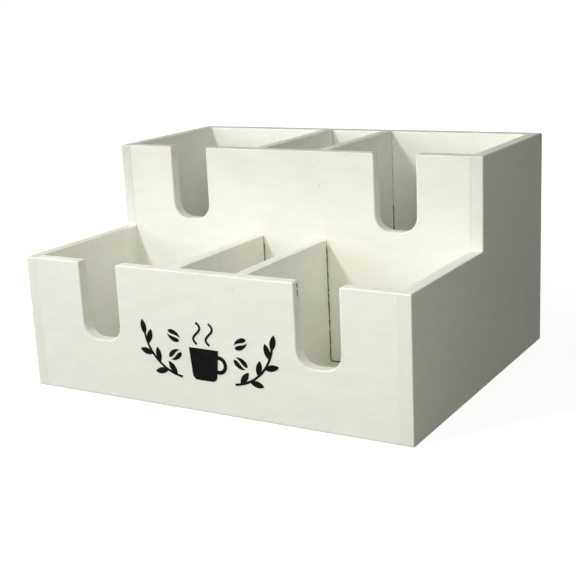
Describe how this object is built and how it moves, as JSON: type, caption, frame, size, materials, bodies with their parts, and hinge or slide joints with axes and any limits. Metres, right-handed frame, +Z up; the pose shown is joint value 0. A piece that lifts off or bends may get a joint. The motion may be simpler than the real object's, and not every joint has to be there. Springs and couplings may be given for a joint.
{
  "type": "coffee station organizer",
  "caption": "Two-tier open wooden countertop organizer for a coffee station, with divided bays and finger notches in the front board of each tier.",
  "frame": {"origin": "middle of the footprint, on the surface that the organizer stands on", "axes": "+X to the right seen from the front, +Y to the back, +Z up"},
  "size_m": [0.3, 0.2403, 0.16],
  "materials": {
    "painted_board": "warm ivory brushed paint, satin, faint streaks along the board",
    "thin_board": "the same paint above, bare pale plywood below",
    "brad_steel": "plain steel",
    "filler": "wood filler under paint",
    "black_print": "flat black print"
  },
  "bodies": {
    "root": {"left_side_panel": "painted_board", "right_side_panel": "painted_board", "front_panel": "painted_board", "tier_panel": "painted_board", "back_panel": "painted_board", "front_divider_left": "painted_board", "front_divider_right": "painted_board", "rear_divider_left": "painted_board", "rear_divider_right": "painted_board", "floor_panel": "thin_board", "left_side_brads": "brad_steel", "right_side_brads": "brad_steel", "front_panel_brads": "brad_steel", "tier_panel_brads": "brad_steel", "back_panel_brads": "brad_steel", "floor_brads": "brad_steel", "left_side_filler": "filler", "right_side_filler": "filler", "front_panel_filler": "filler", "tier_panel_filler": "filler", "back_panel_filler": "filler", "coffee_motif": "black_print"}
  },
  "joints": []
}
